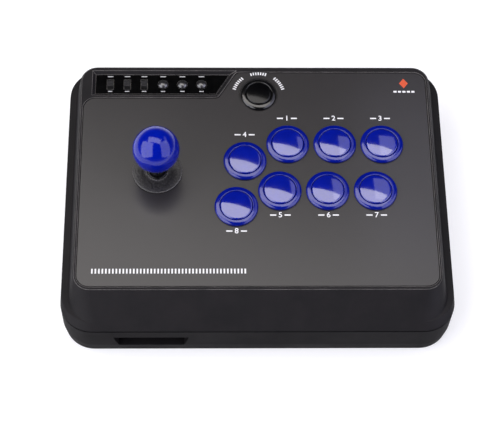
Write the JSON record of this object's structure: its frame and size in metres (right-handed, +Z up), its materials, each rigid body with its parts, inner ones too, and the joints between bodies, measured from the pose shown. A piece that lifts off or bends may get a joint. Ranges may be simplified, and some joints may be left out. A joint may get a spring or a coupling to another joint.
{
  "type": "arcade joystick panel",
  "caption": "Desk-top arcade control panel: sloping case, ball-top lever with dust washer, round play buttons, start button and a strip of slide switches and keys.",
  "frame": {"origin": "middle of the footprint on the surface under the feet", "axes": "+X along the case to the player's right, +Y from the player's side to the back, +Z up"},
  "size_m": [0.2906, 0.224, 0.1052],
  "materials": {
    "case_black": "fine moulded texture",
    "panel_grey": "satin printed sheet",
    "strip_gloss": "polished",
    "button_blue": "polished",
    "plunger_blue": "polished",
    "ball_blue": "polished",
    "start_black": "polished",
    "knob_black": "moulded",
    "cover_black": "moulded",
    "washer_black": "spark eroded",
    "base_steel": "black powder coat",
    "foot_rubber": "moulded",
    "screw_steel": "zinc plated",
    "spring_steel": "drawn wire",
    "shaft_steel": "plated",
    "switch_can": "tinned",
    "switch_black": "moulded",
    "housing_black": "moulded",
    "board_green": "solder mask",
    "nylon_white": "moulded"
  },
  "bodies": {
    "case": {"top_shell": "case_black", "bottom_shell": "case_black", "base_plate": "base_steel", "rubber_feet": "foot_rubber", "case_screws": "screw_steel", "base_plate_screws": "screw_steel", "panel_inlay": "panel_grey", "function_bezel": "strip_gloss", "function_board": "board_green", "slide_switches": "switch_can", "tact_switches": "switch_black", "main_board": "board_green", "board_screws": "screw_steel", "front_port_shell": "switch_can", "front_port_tongue": "switch_black", "front_port_board": "board_green", "cable_gland": "foot_rubber", "joystick_plate": "base_steel", "joystick_housing": "housing_black", "spring_seat": "nylon_white", "centring_spring": "spring_steel", "restrictor_gate": "housing_black", "stick_switch_board": "board_green", "stick_switches": "switch_black", "stick_connector": "nylon_white", "joystick_screws": "screw_steel", "button_switches": "switch_black", "start_rim": "start_black", "button_rim_1": "button_blue", "button_rim_2": "button_blue", "button_rim_3": "button_blue", "button_rim_4": "button_blue", "button_rim_5": "button_blue", "button_rim_6": "button_blue", "button_rim_7": "button_blue", "button_rim_8": "button_blue"},
    "bearing_cup": {"bearing_cup": "nylon_white"},
    "pivot": {"pivot_ball": "nylon_white"},
    "stick": {"shaft": "shaft_steel", "ball_top": "ball_blue", "shaft_cover": "cover_black", "actuator": "nylon_white", "shaft_clip": "spring_steel"},
    "washer_bush": {"washer_bush": "cover_black"},
    "dust_washer": {"dust_washer": "washer_black"},
    "button_1": {"button_plunger_1": "plunger_blue"},
    "button_2": {"button_plunger_2": "plunger_blue"},
    "button_3": {"button_plunger_3": "plunger_blue"},
    "button_4": {"button_plunger_4": "plunger_blue"},
    "button_5": {"button_plunger_5": "plunger_blue"},
    "button_6": {"button_plunger_6": "plunger_blue"},
    "button_7": {"button_plunger_7": "plunger_blue"},
    "button_8": {"button_plunger_8": "plunger_blue"},
    "start": {"start_plunger": "start_black"},
    "key_1": {"function_button_1": "strip_gloss"},
    "key_2": {"function_button_2": "strip_gloss"},
    "key_3": {"function_button_3": "strip_gloss"},
    "knob_1": {"slide_knob_1": "knob_black"},
    "knob_2": {"slide_knob_2": "knob_black"},
    "knob_3": {"slide_knob_3": "knob_black"}
  },
  "joints": [
    {"name": "stick_left_right", "type": "hinge", "parent": "case", "child": "bearing_cup", "pos_m": [-0.075, 0.0116, 0.0375], "axis": [0, 1, 0], "range_deg": [-9, 9], "stiffness_Nm_per_rad": 0.6, "deforming": ["centring_spring"]},
    {"name": "stick_fore_aft", "type": "hinge", "parent": "bearing_cup", "child": "pivot", "pos_m": [-0.075, 0.0116, 0.0375], "axis": [1, 0, 0], "range_deg": [-9, 9], "stiffness_Nm_per_rad": 0.6, "deforming": ["centring_spring"]},
    {"name": "stick_spin", "type": "hinge", "parent": "pivot", "child": "stick", "pos_m": [-0.075, 0.0116, 0.0375], "axis": [0, 0, 1], "continuous": true},
    {"name": "bush_levelling", "type": "hinge", "parent": "pivot", "child": "washer_bush", "pos_m": [-0.075, 0.0116, 0.05515], "axis": [1, 0, 0], "range_deg": [-9, 9]},
    {"name": "washer_levelling", "type": "hinge", "parent": "washer_bush", "child": "dust_washer", "pos_m": [-0.075, 0.0116, 0.05515], "axis": [0, 1, 0], "range_deg": [-9, 9]},
    {"name": "button_1_press", "type": "slide", "parent": "case", "child": "button_1", "axis": [0, 0, -1], "range_m": [0, 0.0025], "stiffness_N_per_m": 150, "springref_m": -0.004},
    {"name": "button_2_press", "type": "slide", "parent": "case", "child": "button_2", "axis": [0, 0, -1], "range_m": [0, 0.0025], "stiffness_N_per_m": 150, "springref_m": -0.004},
    {"name": "button_3_press", "type": "slide", "parent": "case", "child": "button_3", "axis": [0, 0, -1], "range_m": [0, 0.0025], "stiffness_N_per_m": 150, "springref_m": -0.004},
    {"name": "button_4_press", "type": "slide", "parent": "case", "child": "button_4", "axis": [0, 0, -1], "range_m": [0, 0.0025], "stiffness_N_per_m": 150, "springref_m": -0.004},
    {"name": "button_5_press", "type": "slide", "parent": "case", "child": "button_5", "axis": [0, 0, -1], "range_m": [0, 0.0025], "stiffness_N_per_m": 150, "springref_m": -0.004},
    {"name": "button_6_press", "type": "slide", "parent": "case", "child": "button_6", "axis": [0, 0, -1], "range_m": [0, 0.0025], "stiffness_N_per_m": 150, "springref_m": -0.004},
    {"name": "button_7_press", "type": "slide", "parent": "case", "child": "button_7", "axis": [0, 0, -1], "range_m": [0, 0.0025], "stiffness_N_per_m": 150, "springref_m": -0.004},
    {"name": "button_8_press", "type": "slide", "parent": "case", "child": "button_8", "axis": [0, 0, -1], "range_m": [0, 0.0025], "stiffness_N_per_m": 150, "springref_m": -0.004},
    {"name": "start_press", "type": "slide", "parent": "case", "child": "start", "axis": [0, 0, -1], "range_m": [0, 0.0025], "stiffness_N_per_m": 150, "springref_m": -0.004},
    {"name": "key_1_press", "type": "slide", "parent": "case", "child": "key_1", "axis": [0, 0, -1], "range_m": [0, 0.0008], "stiffness_N_per_m": 600, "springref_m": -0.0008},
    {"name": "key_2_press", "type": "slide", "parent": "case", "child": "key_2", "axis": [0, 0, -1], "range_m": [0, 0.0008], "stiffness_N_per_m": 600, "springref_m": -0.0008},
    {"name": "key_3_press", "type": "slide", "parent": "case", "child": "key_3", "axis": [0, 0, -1], "range_m": [0, 0.0008], "stiffness_N_per_m": 600, "springref_m": -0.0008},
    {"name": "knob_1_slide", "type": "slide", "parent": "case", "child": "knob_1", "axis": [0, 1, 0], "range_m": [-0.002, 0.002]},
    {"name": "knob_2_slide", "type": "slide", "parent": "case", "child": "knob_2", "axis": [0, 1, 0], "range_m": [-0.002, 0.002]},
    {"name": "knob_3_slide", "type": "slide", "parent": "case", "child": "knob_3", "axis": [0, 1, 0], "range_m": [-0.002, 0.002]}
  ],
  "couplings": [
    {"joint": "bush_levelling", "follows": "stick_fore_aft", "ratio": -1},
    {"joint": "washer_levelling", "follows": "stick_left_right", "ratio": -1}
  ]
}
